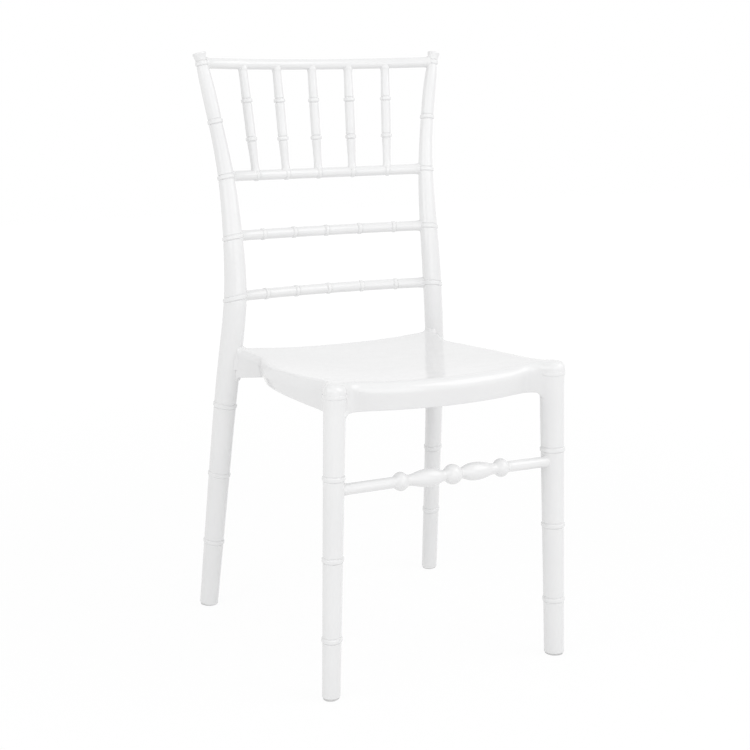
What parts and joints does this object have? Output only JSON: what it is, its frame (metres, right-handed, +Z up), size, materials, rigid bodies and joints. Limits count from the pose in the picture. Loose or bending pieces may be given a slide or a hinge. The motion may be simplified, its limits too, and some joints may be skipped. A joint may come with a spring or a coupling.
{
  "type": "chiavari_chair",
  "caption": "Glossy white chiavari banquet chair with bamboo-ringed legs, a dished seat pan, bowed back rails with spindles and a turned front stretcher, for seating one person",
  "frame": {"origin": "on the floor under the middle of the chair's bounding box", "axes": "+X to the sitter's left, +Y to the back of the chair, +Z up; the chair faces -Y"},
  "size_m": [0.4546, 0.5123, 0.919],
  "materials": {
    "white_shell": "glossy",
    "glide_pad": "matte",
    "fastener_steel": "brushed",
    "insert_brass": "satin"
  },
  "bodies": {
    "root": {"seat": "white_shell", "rear_leg_left": "white_shell", "rear_leg_right": "white_shell", "front_leg_left": "white_shell", "front_leg_right": "white_shell", "crest_rail": "white_shell", "spindle_rail": "white_shell", "middle_back_rail": "white_shell", "lower_back_rail": "white_shell", "spindle_1": "white_shell", "spindle_2": "white_shell", "spindle_3": "white_shell", "spindle_4": "white_shell", "spindle_5": "white_shell", "front_stretcher": "white_shell", "rear_glide_left": "glide_pad", "rear_glide_right": "glide_pad", "front_glide_left": "glide_pad", "front_glide_right": "glide_pad", "rear_leg_bolts": "fastener_steel", "front_leg_screws": "fastener_steel", "bolt_inserts": "insert_brass"}
  },
  "joints": []
}
